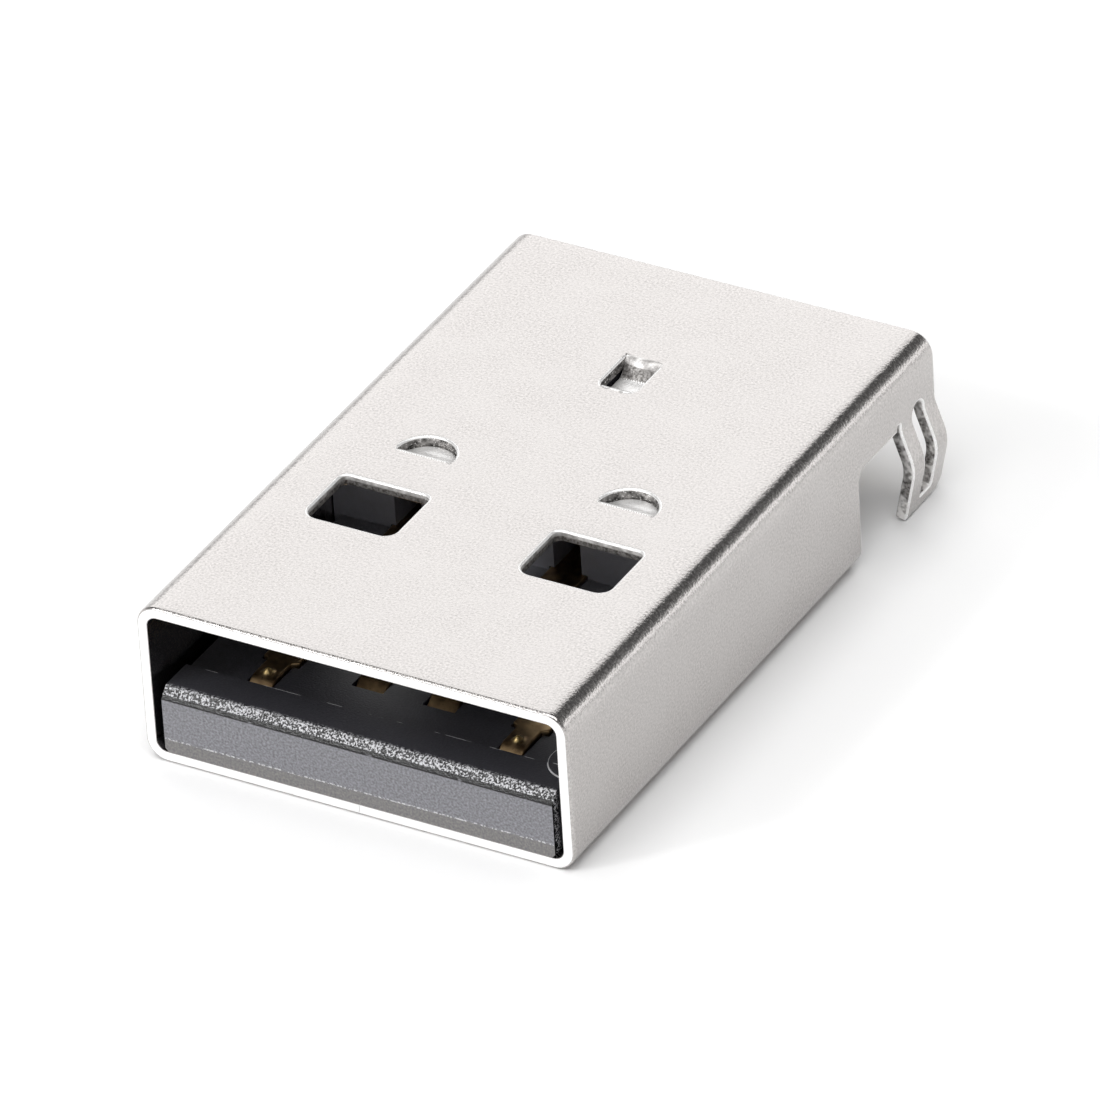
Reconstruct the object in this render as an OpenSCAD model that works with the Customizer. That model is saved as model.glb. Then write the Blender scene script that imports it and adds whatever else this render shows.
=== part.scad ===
// USB type A plug for a circuit board, sunk into the board edge, soldered through holes.
// One folded sheet-steel shell with two board-lock legs, one moulded insulator with its
// tongue, and four stamped contacts.
// Millimetres, +Z up. The mouth looks along -Y and the solder tails are at +Y.
// Origin: middle of the length and width, on the underside of the shell.
// Distances along the plug in the values below run from the mouth.

/* [Drawn piece] */
// piece to draw

/* [Shell] */
// outside width of the folded shell
plug_w = 12.0; // [11.9:0.05:12.1]
// outside height of the folded shell
plug_h = 4.5; // [4.4:0.05:4.6]
// whole length from the mouth to the rear edge
plug_l = 18.75; // [18:0.05:22]
// thickness of the sheet steel
sheet_t = 0.30; // [0.25:0.01:0.35]
// outside radius of the four long bends
bend_r = 0.58; // [0.4:0.01:0.9]

/* [Latch windows] */
// width of a window
window_w = 2.5; // [2.2:0.05:2.8]
// length of a window
window_l = 2.0; // [1.8:0.05:2.2]
// corner radius of a window
window_r = 0.35; // [0.1:0.05:0.6]
// distance between the middles of the two windows of one face
window_pitch = 6.0; // [5.5:0.05:6.5]
// front edge of a window
window_y = 5.12; // [5:0.01:5.3]

/* [Insulator stops] */
// radius of a half-moon stop
stop_r = 0.78; // [0.5:0.01:1]
// length of a half-moon stop
stop_l = 0.90; // [0.5:0.01:1]
// distance between the middles of the two stops
stop_pitch = 5.7; // [5:0.05:6.5]
// straight front edge of a stop
stop_y = 8.60; // [8.2:0.05:9.2]
// how far the rear of a stop is pressed in
stop_depth = 0.27; // [0.15:0.01:0.29]

/* [Pressed bridge] */
// width of the bridge that holds the insulator from behind
bridge_w = 1.02; // [0.8:0.01:1.4]
// length of the bridge
bridge_l = 1.57; // [1.3:0.01:2]
// front end of the bridge
bridge_y = 13.20; // [12.5:0.05:13.5]
// how far the bridge is pressed in
bridge_depth = 0.44; // [0.35:0.01:0.55]
// length of the gentle front ramp
bridge_front = 0.62; // [0.3:0.01:0.9]
// length of the steep rear ramp
bridge_rear = 0.36; // [0.2:0.01:0.6]
// bend radius of the bridge on the middle of the sheet
bridge_bend_r = 0.22; // [0.16:0.01:0.3]
// radius of the two front ends of the shear line
bridge_corner_r = 0.30; // [0.1:0.01:0.45]

/* [Bottom seam] */
// gap between the two edges of the sheet
seam_gap = 0.06; // [0.03:0.01:0.15]
// middle of the dovetail that locks the seam
dovetail_y = 10.4; // [9:0.1:12]
// width of the dovetail at its neck
dovetail_neck = 1.4; // [1:0.1:2]
// width of the dovetail at its head
dovetail_head = 2.2; // [1.6:0.1:3]
// length of the dovetail
dovetail_l = 1.5; // [1:0.1:2]

/* [Rear notch over the board] */
// rear edge of the full-height sides, where the board edge stops
notch_y = 14.70; // [13:0.05:15.5]
// underside of the raised flanges, which sit on the board
seat_z = 2.75; // [2:0.05:3.2]
// fillet between the notch and the flange
notch_r = 0.35; // [0.1:0.05:0.6]
// rear edge of the bottom sheet
floor_y = 14.25; // [13:0.05:14.6]
// round of the lower rear corner of each side
heel_r = 0.45; // [0.2:0.05:0.6]

/* [Board-lock legs] */
// length of a leg along the plug
leg_l = 1.85; // [1.4:0.05:2.2]
// how far the leg springs outside the side wall
leg_bulge = 0.35; // [0.2:0.01:0.5]
// height of the widest place of the leg
leg_bulge_z = 1.60; // [1.2:0.05:2]
// height of the leg tip above the underside
leg_tip_z = 0.10; // [0.05:0.01:0.6]
// how far outside the side wall the tip stands
leg_tip_out = 0.03; // [-0.2:0.01:0.2]
// height where the leg starts to lean
leg_bend_z = 2.62; // [2.4:0.02:2.75]
// bend radius at the root of the leg
leg_root_r = 0.8; // [0.4:0.1:1.5]
// bend radius at the widest place
leg_bulge_r = 1.1; // [0.6:0.1:2]
// round of the lower rear corner of the leg
leg_corner_r = 0.40; // [0.1:0.05:0.7]
// width of the slot that makes the leg springy
leg_slot_w = 0.41; // [0.25:0.01:0.6]
// lower end of the slot
leg_slot_low = 0.48; // [0.3:0.02:1]
// upper end of the slot
leg_slot_high = 3.02; // [2.4:0.02:3.2]
// width of the relief nick in front of the leg
nick_w = 0.14; // [0.1:0.01:0.3]
// height of the relief nick above the board seat
nick_h = 0.16; // [0.1:0.01:0.3]

/* [Insulator tongue] */
// space between each side of the tongue and the shell
tongue_gap = 0.24; // [0.1:0.01:0.5]
// top of the tongue between the contacts
tongue_z = 1.95; // [1.8:0.01:2.3]
// front face of the tongue
tongue_y = 0.00; // [0:0.05:1]
// top of the front bar, which covers the contact tips
bar_z = 2.12; // [2:0.01:2.4]
// rear wall of the front bar, where the outer contacts come out
bar_y = 1.22; // [1:0.01:2]
// chamfer along the top front edge of the bar
lead = 0.26; // [0.1:0.01:0.4]
// chamfer along the two lower edges of the tongue
under_lead = 0.10; // [0.05:0.01:0.3]
// radius of the ejector pad on the tongue
pad_r = 0.79; // [0.4:0.01:1]
// distance of the ejector pad's middle from the right side of the tongue
pad_in = 0.06; // [0:0.01:1.5]
// place of the ejector pad along the tongue
pad_y = 1.55; // [1:0.05:4]
// height of the ejector pad above the bar
pad_h = 0.03; // [0.01:0.01:0.1]

/* [Insulator block] */
// front face of the block, across the rear of the tongue
block_y = 8.80; // [8.6:0.05:9.4]
// space round each stop in its recess of the block
stop_gap = 0.05; // [0:0.01:0.2]
// space between the block and the shell at each side
side_gap = 0.03; // [0.02:0.01:0.1]
// space between the block and the top of the shell
top_gap = 0.04; // [0.02:0.01:0.1]
// long corner radius of the block
block_r = 0.40; // [0.35:0.01:0.6]
// width of the opening over each contact in the front of the block
port_w = 0.78; // [0.7:0.02:1.4]
// depth of that opening
port_l = 1.2; // [0.5:0.1:1.6]
// height of that opening above the tongue
port_h = 1.35; // [0.5:0.05:1.7]
// space between the lower block and the board edge
edge_gap = 0.10; // [0.05:0.01:0.3]
// space between the rear block and the board
board_gap = 0.06; // [0.05:0.01:0.3]
// rear face of the block
block_rear_y = 16.9; // [16:0.05:17.4]
// space round the pressed bridge in its pocket
bridge_gap = 0.08; // [0.04:0.01:0.2]

/* [Contacts] */
// thickness of the contact strip
contact_t = 0.20; // [0.15:0.01:0.3]
// width of the contact strip
contact_w = 1.00; // [0.9:0.01:1.1]
// top of the contact strip on the tongue
contact_z = 2.05; // [2:0.01:2.3]
// distance between the two inner contacts
inner_pitch = 2.0; // [1.9:0.05:2.1]
// distance from an inner contact to the outer one beside it
outer_step = 2.5; // [2.4:0.05:2.6]
// where the two inner contacts come out of the tongue
inner_y = 2.33; // [2:0.01:3.2]
// length of the tip that stays in the plastic
tip_in = 0.25; // [0.1:0.01:0.5]
// length of the low tip that shows
tip_out = 0.08; // [0:0.01:0.3]
// width of the nose of an outer contact
outer_nose_w = 0.66; // [0.5:0.01:1]
// width of the nose of an inner contact
inner_nose_w = 0.82; // [0.5:0.01:1]
// length of the narrow nose
nose_l = 1.23; // [0.8:0.01:1.5]
// how far the tip lies below the rest of the strip
nose_drop = 0.24; // [0.15:0.01:0.35]
// length of the slope up from the tip
nose_ramp = 0.36; // [0.2:0.01:0.6]
// radius of the touch dimple
dimple_r = 0.50; // [0.3:0.01:0.8]
// height of the touch dimple
dimple_h = 0.06; // [0.02:0.01:0.1]
// distance of the touch dimple from where the contact comes out
dimple_y = 0.70; // [0.4:0.01:0.9]
// start of the step up inside the block
riser_y = 11.4; // [11:0.1:12]
// length of the step up
riser_l = 1.4; // [1:0.1:2]
// top of the contact strip over the board
deck_z = 3.42; // [3.2:0.01:3.6]
// middle of the solder tails along the plug
tail_y = 17.50; // [17:0.05:18]
// lower end of the solder tails
tail_z = 0.15; // [0.05:0.05:1]
// width of a solder tail
tail_w = 0.60; // [0.4:0.05:0.8]
// bend radius of the strip on its middle
contact_bend_r = 0.30; // [0.2:0.01:0.5]
// space beside a contact in the plastic
contact_gap = 0.04; // [0.02:0.01:0.1]

/* [Hidden] */
$fn = 64;
inside_w = plug_w - 2 * sheet_t;
inside_h = plug_h - 2 * sheet_t;
inside_r = bend_r - sheet_t;
wall_x = plug_w / 2 - sheet_t / 2;
leg_y = plug_l - leg_l;
leg_root_z = seat_z + nick_h;
tongue_w = inside_w - 2 * tongue_gap;
block_w = inside_w - 2 * side_gap;
block_top = plug_h - sheet_t - top_gap;
stop_rear_y = stop_y + stop_l + stop_gap;
strip_z = contact_z - contact_t / 2;
past = 1;
bend_steps = 8;

// unit vector, and the left normal of a step
function unit(v) = v / norm(v);
function left_of(v) = [-v[1], v[0]] / norm(v);

// corner i of a path, rounded to radius r: points of the arc between its two tangents
function corner(p, i, r) =
  let (u = unit(p[i-1] - p[i]), v = unit(p[i+1] - p[i]), half = acos(u * v) / 2,
       mid = p[i] + unit(u + v) * r / sin(half),
       a = p[i] + u * r / tan(half) - mid, b = p[i] + v * r / tan(half) - mid)
  [for (s = [0:bend_steps]) mid + r * unit(a * (1 - s / bend_steps) + b * s / bend_steps)];

// path with every inner corner rounded, r holding one radius a point
function bent(p, r) = [for (i = [0:len(p)-1])
  each (i == 0 || i == len(p) - 1 ? [p[i]] : corner(p, i, r[i]))];

// point i of a path moved sideways by d, mitred between its two steps
function shifted(p, i, d) =
  let (a = i > 0 ? left_of(p[i] - p[i-1]) : left_of(p[1] - p[0]),
       b = i < len(p) - 1 ? left_of(p[i+1] - p[i]) : a)
  p[i] + d * (a + b) / (1 + a * b);

// outline of a strip of thickness t whose middle follows a path
function strip_outline(p, t) = concat(
  [for (i = [0:len(p)-1]) shifted(p, i, t / 2)],
  [for (i = [len(p)-1:-1:0]) shifted(p, i, -t / 2)]);

module from_mouth() translate([0, -plug_l / 2, 0]) children();
module along_x(w) rotate([90, 0, 90]) linear_extrude(height = w, center = true) children();
module along_y(y0, y1) translate([0, y1, 0]) rotate([90, 0, 0]) linear_extrude(height = y1 - y0) children();
module along_z(z0, z1) translate([0, 0, z0]) linear_extrude(height = z1 - z0) children();
module both_sides(x) { translate([x, 0, 0]) children(); translate([-x, 0, 0]) children(); }

module round_rect(w, h, r) {
  translate([-w / 2 + r, 0]) square([w - 2 * r, h]);
  translate([-w / 2, r]) square([w, h - 2 * r]);
  for (x = [-w / 2 + r, w / 2 - r], y = [r, h - r]) translate([x, y]) circle(r);
}

// ---- folded shell ----

module tube_section() difference() {
  round_rect(plug_w, plug_h, bend_r);
  translate([0, sheet_t]) round_rect(inside_w, inside_h, inside_r);
}

module windows() for (z = [-past, plug_h - 2 * sheet_t])
  along_z(z, z + past + 2 * sheet_t) both_sides(window_pitch / 2)
    translate([0, window_y]) round_rect(window_w, window_l, window_r);

module stop_plan() intersection() {
  translate([0, stop_y + stop_l - stop_r]) circle(stop_r);
  translate([-stop_r - past, stop_y]) square([2 * (stop_r + past), stop_l + past]);
}

// wedge between the flat sheet and the sloping stop, at height z
module stop_wedge(z) intersection() {
  along_z(z - past, z) stop_plan();
  along_x(2 * stop_r + past) polygon([[stop_y, z], [stop_y + stop_l, z - stop_depth],
    [stop_y + stop_l + past, z - stop_depth], [stop_y + stop_l + past, z]]);
}

module bridge_plan() translate([0, bridge_y]) {
  translate([-bridge_w / 2, bridge_corner_r]) square([bridge_w, bridge_l - bridge_corner_r]);
  translate([-bridge_w / 2 + bridge_corner_r, 0]) square([bridge_w - 2 * bridge_corner_r, bridge_l]);
  for (x = [-1, 1]) translate([x * (bridge_w / 2 - bridge_corner_r), bridge_corner_r]) circle(bridge_corner_r);
}

function bridge_path() = let (top = plug_h - sheet_t / 2, low = top - bridge_depth)
  bent([[bridge_y - past, top], [bridge_y + 0.1, top], [bridge_y + bridge_front, low],
        [bridge_y + bridge_l - bridge_rear, low], [bridge_y + bridge_l - 0.02, top],
        [bridge_y + bridge_l + past, top]], [0, 2 * bridge_bend_r, 2 * bridge_bend_r, bridge_bend_r, bridge_bend_r, 0]);

module bridge() intersection() {
  along_z(plug_h - 2 * past, plug_h) bridge_plan();
  along_x(2 * bridge_w) polygon(strip_outline(bridge_path(), sheet_t));
}

module seam() along_z(-past, sheet_t + past / 10) polygon(strip_outline([[0, -past],
  [0, dovetail_y - dovetail_neck / 2], [dovetail_l, dovetail_y - dovetail_head / 2],
  [dovetail_l, dovetail_y + dovetail_head / 2], [0, dovetail_y + dovetail_neck / 2],
  [0, notch_y + past]], seam_gap));

module notch() {
  along_x(plug_w + past) {
    translate([notch_y, -past]) square([plug_l - notch_y + past, seat_z - notch_r + past]);
    translate([notch_y + notch_r, -past]) square([plug_l - notch_y + past, seat_z + past]);
    translate([notch_y + notch_r, seat_z - notch_r]) circle(notch_r);
    translate([leg_y - nick_w, 0]) square([leg_l + nick_w + past, leg_root_z]);
    difference() {
      translate([notch_y - heel_r, -past]) square([heel_r + past / 10, heel_r + past]);
      translate([notch_y - heel_r, heel_r]) circle(heel_r);
    }
  }
  translate([-plug_w / 2 + bend_r, floor_y, -past]) cube([plug_w - 2 * bend_r, notch_y - floor_y + past, past + sheet_t]);
}

module leg_outline() difference() {
  translate([leg_y, 0]) square([leg_l, leg_root_z]);
  difference() {
    translate([plug_l - leg_corner_r, 0]) square([leg_corner_r + past, leg_tip_z + leg_corner_r]);
    translate([plug_l - leg_corner_r, leg_tip_z + leg_corner_r]) circle(leg_corner_r);
  }
}

module leg_slot() {
  translate([leg_y + leg_l / 2 - leg_slot_w / 2, leg_slot_low]) square([leg_slot_w, leg_slot_high - leg_slot_w / 2 - leg_slot_low]);
  translate([leg_y + leg_l / 2, leg_slot_high - leg_slot_w / 2]) circle(leg_slot_w / 2);
}

module leg() intersection() {
  along_y(leg_y - past, plug_l + past) polygon(strip_outline(
    bent([[wall_x, leg_root_z], [wall_x, leg_bend_z], [wall_x + leg_bulge, leg_bulge_z],
          [wall_x + leg_tip_out, leg_tip_z]], [0, leg_root_r, leg_bulge_r, 0]), sheet_t));
  along_x(2 * plug_w) leg_outline();
}

module shell() color("silver") from_mouth() difference() {
  union() {
    difference() {
      along_y(0, plug_l) tube_section();
      windows();
      both_sides(stop_pitch / 2) stop_wedge(plug_h);
      along_z(plug_h - 2 * sheet_t, plug_h + past) bridge_plan();
      seam();
      notch();
    }
    both_sides(stop_pitch / 2) stop_wedge(plug_h - sheet_t);
    bridge();
    leg();
    mirror([1, 0, 0]) leg();
  }
  along_x(2 * plug_w) leg_slot();
}

// ---- contacts ----

function contact_path(out) = let (low = strip_z - nose_drop, deck = deck_z - contact_t / 2)
  bent([[out - tip_in, low], [out + tip_out, low], [out + tip_out + nose_ramp, strip_z],
        [riser_y, strip_z], [riser_y + riser_l, deck], [tail_y, deck], [tail_y, tail_z]],
       [0, contact_bend_r, contact_bend_r, contact_bend_r, contact_bend_r, contact_bend_r, 0]);

// strip following its path, narrower at the nose and at the tail, with a space beside it
module contact_strip(out, nose_w, space) difference() {
  along_x(contact_w + 2 * space) polygon(strip_outline(contact_path(out), contact_t));
  both_sides(nose_w / 2 + space + past / 2) translate([-past / 2, out - past, 0]) cube([past, nose_l + past - space, plug_h]);
  both_sides(tail_w / 2 + space + past / 2) translate([-past / 2, block_rear_y + space, 0]) cube([past, past, plug_h]);
}

module contact(x, out, nose_w) color("gold") from_mouth() translate([x, 0, 0]) {
  contact_strip(out, nose_w, 0);
  intersection() {
    translate([0, out + dimple_y, contact_z + dimple_h - dimple_r]) sphere(dimple_r);
    translate([-nose_w / 2, out, strip_z]) cube([nose_w, nose_l, contact_t]);
  }
}

module contact_power() contact(inner_pitch / 2 + outer_step, bar_y, outer_nose_w);
module contact_data_minus() contact(inner_pitch / 2, inner_y, inner_nose_w);
module contact_data_plus() contact(-inner_pitch / 2, inner_y, inner_nose_w);
module contact_ground() contact(-inner_pitch / 2 - outer_step, bar_y, outer_nose_w);

// ---- moulded insulator ----

// room for one contact: its own strip, the open groove on the tongue and the port in the block
module contact_room(x, out, nose_w) translate([x, 0, 0]) {
  contact_strip(out, nose_w, contact_gap);
  translate([-nose_w / 2 - contact_gap, out, strip_z - nose_drop + contact_t / 2]) cube([nose_w + 2 * contact_gap, tip_out + nose_ramp, past]);
  translate([-nose_w / 2 - contact_gap, out, strip_z]) cube([nose_w + 2 * contact_gap, nose_l, past]);
  translate([-contact_w / 2 - contact_gap, out + nose_l - contact_gap, strip_z]) cube([contact_w + 2 * contact_gap, block_y - out - nose_l + contact_gap, past]);
  translate([-port_w / 2, block_y - past, strip_z]) cube([port_w, port_l + past, tongue_z + port_h - strip_z]);
}

// cross-section of the tongue below its bar, with the two lower edges chamfered
module tongue_section() polygon([[-tongue_w / 2, sheet_t + under_lead], [-tongue_w / 2 + under_lead, sheet_t],
  [tongue_w / 2 - under_lead, sheet_t], [tongue_w / 2, sheet_t + under_lead], [tongue_w / 2, plug_h], [-tongue_w / 2, plug_h]]);

module tongue() intersection() {
  union() {
    along_x(tongue_w) polygon([[tongue_y, sheet_t], [block_y + past, sheet_t], [block_y + past, tongue_z],
      [bar_y, tongue_z], [bar_y, bar_z], [tongue_y + lead, bar_z], [tongue_y, bar_z - lead]]);
    translate([tongue_w / 2 - pad_in, pad_y, sheet_t]) cylinder(r = pad_r, h = bar_z + pad_h - sheet_t);
  }
  along_y(tongue_y, block_y + past) tongue_section();
}

module block() difference() {
  along_y(block_y, block_rear_y) translate([0, sheet_t]) round_rect(block_w, block_top - sheet_t, block_r);
  translate([-plug_w / 2, notch_y - edge_gap, -past]) cube([plug_w, plug_l, seat_z + board_gap + past]);
  both_sides(stop_pitch / 2) translate([-stop_r - stop_gap, block_y - past, plug_h - 2 * sheet_t - stop_depth - stop_gap])
    cube([2 * (stop_r + stop_gap), stop_rear_y - block_y + past, plug_h]);
  translate([-bridge_w / 2 - bridge_gap, bridge_y - bridge_gap, plug_h - sheet_t - bridge_depth - bridge_gap])
    cube([bridge_w + 2 * bridge_gap, bridge_l + 2 * bridge_gap, plug_h]);
}

module insulator() color("dimgray") from_mouth() difference() {
  union() { tongue(); block(); }
  for (s = [-1, 1]) {
    contact_room(s * (inner_pitch / 2 + outer_step), bar_y, outer_nose_w);
    contact_room(s * inner_pitch / 2, inner_y, inner_nose_w);
  }
}

shell();
insulator();
contact_power();
contact_data_minus();
contact_data_plus();
contact_ground();
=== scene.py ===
import bpy
import math
import numpy as np
from mathutils import Matrix, Vector
from mathutils.geometry import delaunay_2d_cdt


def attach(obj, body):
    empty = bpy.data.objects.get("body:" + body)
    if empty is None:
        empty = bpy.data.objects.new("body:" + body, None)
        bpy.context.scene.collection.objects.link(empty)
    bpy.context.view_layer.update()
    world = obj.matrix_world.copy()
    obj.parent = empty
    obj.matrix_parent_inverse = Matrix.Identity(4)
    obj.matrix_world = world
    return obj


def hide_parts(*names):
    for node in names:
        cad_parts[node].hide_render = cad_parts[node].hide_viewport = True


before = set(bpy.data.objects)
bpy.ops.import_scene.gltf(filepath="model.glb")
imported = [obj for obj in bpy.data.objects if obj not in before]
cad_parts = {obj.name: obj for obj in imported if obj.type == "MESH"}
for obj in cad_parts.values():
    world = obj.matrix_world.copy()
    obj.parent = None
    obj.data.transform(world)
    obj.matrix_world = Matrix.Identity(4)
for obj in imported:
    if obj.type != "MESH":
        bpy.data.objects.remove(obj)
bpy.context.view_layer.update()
mm = 0.001


sheet = {  # the folded shell, mm; places along the plug run from the mouth
    "width": 12.0, "height": 4.5, "length": 18.75, "thick": 0.30, "bend": 0.58,
    "seamGap": 0.012, "dovetail": [(0, 9.7), (1.5, 9.3), (1.5, 11.5), (0, 11.1)],
    "floorEnd": 14.25, "sideEnd": 14.70, "seat": 2.75, "notchRound": 0.35, "heel": 0.45,
    "legFront": 16.90, "nickWidth": 0.14, "nickTop": 2.91, "legCorner": 0.40,
    "leanStart": 2.62, "widest": 1.60, "tip": 0.10, "bulge": 0.35, "tipOut": 0.03,
    "rootRound": 0.8, "bulgeRound": 1.1, "slotWidth": 0.56, "slotLow": 0.48, "slotHigh": 3.02,
    "windowX": 3.0, "windowWidth": 2.5, "windowLength": 2.0, "windowFront": 5.12,
    "windowRounds": [0.35, 0.2, 0.2, 0.35],
    "stopX": 2.85, "stopRadius": 0.78, "stopFront": 8.60, "stopLength": 0.90, "stopDepth": 0.27,
    "stopSlope": 0.6, "stopEase": 1.5,  # share of the stop that slopes, and how softly it starts
    "bridgeWidth": 1.02, "bridgeLength": 1.57, "bridgeFront": 13.20, "bridgeDepth": 0.44, "bridgeRound": 0.30,
    "rampFront": 0.62, "rampRear": 0.36, "rampBow": 0.10, "bowFrom": 0.8, "bowOver": 0.5, "bendCells": 30,
    "rollWidth": 0.09, "rollDrop": 0.05, "burr": 0.015, "slitFade": 0.2, "burnishFrom": 1.0,
    "pointStep": 0.09, "fineStep": 0.06, "patchStep": (0.07, 0.06), "coarseStep": 0.5, "legStep": (0.1, 0.12),
    "smoothBelow": 35,
}


def newPiece(name, points, faces, angle):  # mesh object at the origin, points in mm, smooth below the angle
    mesh = bpy.data.meshes.new(name)
    mesh.from_pydata((points * mm).tolist(), [], faces if isinstance(faces, list) else faces.tolist())
    mesh.shade_smooth()
    mesh.set_sharp_from_angle(angle=math.radians(angle))
    piece = bpy.data.objects.new(name, mesh)
    bpy.context.collection.objects.link(piece)
    return piece


def roundCorners(points, radii, step):
    # closed outline: each corner swapped for an arc of its radius (0 keeps it sharp), runs cut every step
    points = np.array(points, float)
    before, after = np.roll(points, 1, 0) - points, np.roll(points, -1, 0) - points
    runIn, runOut = np.linalg.norm(before, axis=1), np.linalg.norm(after, axis=1)
    line = []
    for point, a, b, la, lb, radius in zip(points, before, after, runIn, runOut, radii):
        a, b = a / la, b / lb
        half = math.acos(max(-1, min(1, a @ b))) / 2
        if radius <= 0 or abs(math.sin(half)) > 0.9999:  # sharp, or the line runs straight on
            line.append(point[None])
            continue
        back = radius / math.tan(half)
        centre = point + (a + b) / np.linalg.norm(a + b) * radius / math.sin(half)
        start, end = point + a * back - centre, point + b * back - centre
        turn = math.atan2(start[0] * end[1] - start[1] * end[0], start @ end)
        count = max(4, int(radius * abs(turn) / step) + 3)
        angle = math.atan2(start[1], start[0]) + np.linspace(0, turn, count)
        line.append(centre + radius * np.column_stack((np.cos(angle), np.sin(angle))))
    return cutRuns(np.vstack(line), step, True)


def cutRuns(points, step, closed):  # extra points every step along the straight runs
    ends = np.roll(points, -1, 0) if closed else points[1:]
    starts = points if closed else points[:-1]
    pieces = []
    for a, b in zip(starts, ends):
        count = max(1, int(round(np.linalg.norm(b - a) / step)))
        pieces.append(a + (b - a) * np.arange(count)[:, None] / count)
    return np.vstack(pieces + ([] if closed else [points[-1:]]))


def leftNormals(line, closed):  # unit normal to the left of a line at each point, mitred: (a + b) / (1 + a.b)
    steps = np.diff(line, axis=0, append=line[:1]) if closed else np.diff(line, axis=0)
    sides = np.column_stack((-steps[:, 1], steps[:, 0])) / np.linalg.norm(steps, axis=1)[:, None]
    first = np.roll(sides, 1, 0) if closed else np.vstack((sides[:1], sides))
    second = sides if closed else np.vstack((sides, sides[-1:]))
    return (first + second) / (1 + np.sum(first * second, axis=1))[:, None]


def insideLoop(points, loop):  # even number of crossings of a line to the right means outside
    inside = np.zeros(len(points), bool)
    for a, b in zip(loop, np.roll(loop, -1, 0)):
        if a[1] == b[1]:
            continue
        crosses = (a[1] > points[:, 1]) != (b[1] > points[:, 1])
        inside ^= crosses & (points[:, 0] < a[0] + (points[:, 1] - a[1]) * (b[0] - a[0]) / (b[1] - a[1]))
    return inside


# lengths along the sheet's middle line, from the middle of the top
middle = sheet["bend"] - sheet["thick"] / 2
flat = sheet["width"] / 2 - sheet["bend"]
arc = middle * math.pi / 2
side = sheet["height"] - 2 * sheet["bend"]
seam = 2 * flat + 2 * arc + side
leanRoot = math.atan2(sheet["bulge"], sheet["leanStart"] - sheet["widest"])
leanTip = math.atan2(sheet["bulge"] - sheet["tipOut"], sheet["widest"] - sheet["tip"])


def down(z):  # distance along the sheet at height z of the straight side
    return flat + arc + sheet["height"] - sheet["bend"] - z


leanFrom = down(sheet["leanStart"])
leanTo = leanFrom + math.hypot(sheet["bulge"], sheet["leanStart"] - sheet["widest"])
legEnd = leanTo + math.hypot(sheet["bulge"] - sheet["tipOut"], sheet["widest"] - sheet["tip"])


def legCurve(run):
    # lean of the leg grows evenly over each bend; position is the running sum of (sin, cos) of the lean
    fine = np.linspace(leanFrom - 1, legEnd + 1, 1200)
    bendOne = sheet["rootRound"] * leanRoot
    bendTwo = sheet["bulgeRound"] * (leanRoot + leanTip)
    rise, back = (fine - leanFrom) / bendOne + 0.5, (fine - leanTo) / bendTwo + 0.5
    lean = leanRoot * np.clip(rise, 0, 1) - (leanRoot + leanTip) * np.clip(back, 0, 1)
    step = fine[1] - fine[0]
    out, fall = np.cumsum(np.sin(lean)) * step, np.cumsum(np.cos(lean)) * step - (fine - fine[0])
    return [np.interp(run, fine, values, left=0) for values in (out, fall, lean)]


def fold(blank, height):
    # blank (s, y) to the folded place: flat top, quarter circle, straight side, quarter circle, flat bottom,
    # then height along the outward normal (sin turn, cos turn); below the seat the rear follows the leg
    s, y = np.abs(blank[:, 0]), blank[:, 1]
    leg = y > sheet["sideEnd"] + sheet["notchRound"]
    upper = np.clip((s - flat) / middle, 0, math.pi / 2)
    lower = np.clip((s - flat - arc - side) / middle, 0, math.pi / 2)
    turn = np.where(leg, np.minimum(upper + lower, math.pi / 2), upper + lower)
    floor = np.where(leg, 0, np.maximum(s - flat - 2 * arc - side, 0))
    x = np.minimum(s, flat) + middle * np.sin(turn) - floor
    fall = np.where(leg, np.maximum(s - flat - arc, 0), np.clip(s - flat - arc, 0, side))
    z = sheet["height"] - sheet["thick"] / 2 - middle * (1 - np.cos(turn)) - fall
    out, less, lean = legCurve(s)
    x, z, turn = x + out * leg, z - less * leg, turn - lean * leg
    x, z = x + height * np.sin(turn), z + height * np.cos(turn)
    return np.column_stack((x * np.sign(blank[:, 0] + 1e-12), y - sheet["length"] / 2, z))


def pressIn(blank):
    # depth of the pressed shapes on the top. Stop: depth * sin(quarter turn over its slope) ^ ease. Bridge:
    # its path of straight ramps smoothed by a bell-shaped average, bowed by 1 - (s / half width)^2
    s, y = blank[:, 0], blank[:, 1]
    u = np.clip((y - sheet["stopFront"]) / sheet["stopLength"], 0, 1)
    slope = np.minimum(u / sheet["stopSlope"], 1)
    stop = sheet["stopDepth"] * np.sin(slope * math.pi / 2) ** sheet["stopEase"]
    bow = sheet["rampBow"] * (1 - (s / (sheet["bridgeWidth"] / 2)) ** 2)
    late = np.clip((y - sheet["bridgeFront"] - sheet["bowFrom"]) / sheet["bowOver"], 0, 1)
    v = y - sheet["bridgeFront"] + bow * late
    long, cells = sheet["bridgeLength"], sheet["bendCells"]
    bell = np.hanning(2 * cells + 1)
    fine = np.linspace(-0.3, long + 0.3, 600)
    path = np.interp(fine, [0.08, sheet["rampFront"], long - sheet["rampRear"], long - 0.03], [0, 1, 1, 0])
    soft = np.convolve(np.pad(path, cells, mode="edge"), bell / bell.sum(), mode="valid")
    bridge = sheet["bridgeDepth"] * np.interp(v, fine, soft)
    return stop, bridge


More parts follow.
